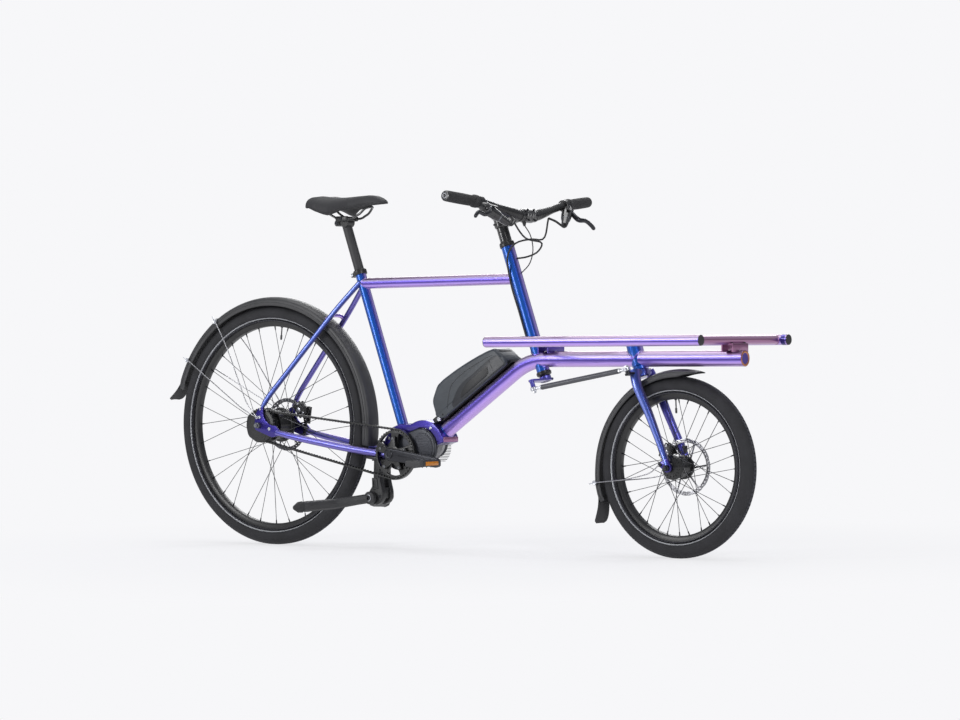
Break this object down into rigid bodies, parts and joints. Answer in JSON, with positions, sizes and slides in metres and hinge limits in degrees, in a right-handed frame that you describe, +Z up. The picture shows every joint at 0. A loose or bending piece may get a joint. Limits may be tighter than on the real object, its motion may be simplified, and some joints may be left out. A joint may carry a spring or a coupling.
{
  "type": "cargo bicycle",
  "caption": "Front-loading electric cargo bicycle with a small front wheel, linkage steering, belt drive and a bare load frame ahead of the handlebar.",
  "frame": {"origin": "middle of the bounding box at ground level, in the bicycle's middle plane", "axes": "+X forwards, +Y to the rider's left, +Z up"},
  "size_m": [2.1257, 0.7012, 1.0438],
  "materials": {
    "black": "satin black",
    "black_metal": "satin black anodised",
    "dark_metal": "dark anodised",
    "grey_rod": "satin dark grey",
    "paint": "metallic colour-shift",
    "rim": "satin black",
    "rubber": "matte black",
    "saddle": "matte black",
    "steel": "bare",
    "tyre": "matte black"
  },
  "bodies": {
    "frame": {"battery_cradle": "black", "belt": "rubber", "chain_stay_left": "paint", "chain_stay_right": "paint", "display_cable": "rubber", "fork_head_tube": "paint", "hose_front_brake": "rubber", "hose_rear_brake": "rubber", "kickstand_bracket": "black_metal", "main_tube": "paint", "motor": "dark_metal", "motor_bracket": "paint", "rack_crossbar_front": "paint", "rack_crossbar_rear": "paint", "rack_rail_left": "paint", "rack_rail_right": "paint", "rear_axle": "steel", "rear_brake_caliper": "dark_metal", "rear_fender": "black", "rear_fender_stays": "steel", "seat_clamp": "black_metal", "seat_stay_left": "paint", "seat_stay_right": "paint", "seat_tube": "paint", "shift_actuator": "dark_metal", "steering_head_tube": "paint", "top_tube": "paint"},
    "steering": {"steering_column": "black_metal", "stem": "black_metal", "handlebar": "black_metal", "grip_left": "rubber", "grip_right": "rubber", "brake_cylinder_left": "black_metal", "brake_cylinder_right": "black_metal"},
    "fork": {"fork": "paint", "front_fender": "black", "front_fender_stay": "steel", "front_brake_caliper": "dark_metal"},
    "tie_rod": {"tie_rod": "grey_rod"},
    "front_wheel": {"front_tyre": "tyre", "front_rim": "rim", "front_hub": "black_metal", "front_rotor": "steel"},
    "rear_wheel": {"rear_tyre": "tyre", "rear_rim": "rim", "rear_hub": "black_metal", "rear_rotor": "steel"},
    "rear_driver": {"rear_sprocket": "dark_metal"},
    "crank": {"crank_right": "dark_metal", "chainring": "dark_metal", "crank_left": "dark_metal"},
    "pedal_right": {"pedal_right": "black"},
    "pedal_left": {"pedal_left": "black"},
    "lever_right": {"brake_lever_right": "black_metal"},
    "lever_left": {"brake_lever_left": "black_metal"},
    "kickstand": {"kickstand_legs": "black_metal"},
    "seat": {"seat_post": "black_metal", "saddle_rails": "steel", "saddle": "saddle"},
    "battery": {"battery": "black"}
  },
  "joints": [
    {"name": "fork_turn", "type": "hinge", "parent": "frame", "child": "fork", "pos_m": [0.67791, 0, 0.5555], "axis": [-0.3256, 0, 0.9455], "range_deg": [-40, 40]},
    {"name": "steering_turn", "type": "hinge", "parent": "frame", "child": "steering", "pos_m": [0.33791, 0, 0.5555], "axis": [-0.3256, 0, 0.9455], "range_deg": [-40, 40], "deforming": ["hose_front_brake", "hose_rear_brake", "display_cable"]},
    {"name": "tie_rod_turn", "type": "hinge", "parent": "steering", "child": "tie_rod", "pos_m": [0.36666, -0.07, 0.472], "axis": [-0.3256, 0, 0.9455], "range_deg": [-40, 40]},
    {"name": "front_wheel_spin", "type": "hinge", "parent": "fork", "child": "front_wheel", "pos_m": [0.81091, 0, 0.253], "axis": [0, 1, 0], "continuous": true},
    {"name": "rear_wheel_spin", "type": "hinge", "parent": "frame", "child": "rear_wheel", "pos_m": [-0.65509, 0, 0.361], "axis": [0, 1, 0], "continuous": true},
    {"name": "crank_spin", "type": "hinge", "parent": "frame", "child": "crank", "pos_m": [-0.15009, 0, 0.28], "axis": [0, 1, 0], "continuous": true},
    {"name": "rear_sprocket_spin", "type": "hinge", "parent": "frame", "child": "rear_driver", "pos_m": [-0.65509, -0.054, 0.361], "axis": [0, 1, 0], "continuous": true},
    {"name": "pedal_right_spin", "type": "hinge", "parent": "crank", "child": "pedal_right", "pos_m": [0.01846, -0.138, 0.25781], "axis": [0, 1, 0], "continuous": true},
    {"name": "pedal_left_spin", "type": "hinge", "parent": "crank", "child": "pedal_left", "pos_m": [-0.31863, 0.138, 0.30219], "axis": [0, 1, 0], "continuous": true},
    {"name": "brake_lever_right_pull", "type": "hinge", "parent": "steering", "child": "lever_right", "pos_m": [0.31221, -0.19447, 0.9827], "axis": [0, 0, -1], "range_deg": [0, 15], "stiffness_Nm_per_rad": 0.6, "springref_deg": -11.46},
    {"name": "brake_lever_left_pull", "type": "hinge", "parent": "steering", "child": "lever_left", "pos_m": [0.31221, 0.19447, 0.9827], "axis": [0, 0, 1], "range_deg": [0, 15], "stiffness_Nm_per_rad": 0.6, "springref_deg": -11.46},
    {"name": "kickstand_turn", "type": "hinge", "parent": "frame", "child": "kickstand", "pos_m": [-0.25909, 0, 0.149], "axis": [0, -1, 0], "range_deg": [0, 85]},
    {"name": "seat_post_slide", "type": "slide", "parent": "frame", "child": "seat", "axis": [-0.3289, 0, 0.9444], "range_m": [-0.1, 0.06]},
    {"name": "battery_tilt", "type": "hinge", "parent": "frame", "child": "battery", "pos_m": [-0.00427, 0, 0.38638], "axis": [0, -1, 0], "range_deg": [0, 12]}
  ],
  "couplings": [
    {"joint": "steering_turn", "follows": "fork_turn", "ratio": 1},
    {"joint": "tie_rod_turn", "follows": "fork_turn", "ratio": -1},
    {"joint": "rear_sprocket_spin", "follows": "crank_spin", "ratio": 1.6154}
  ]
}
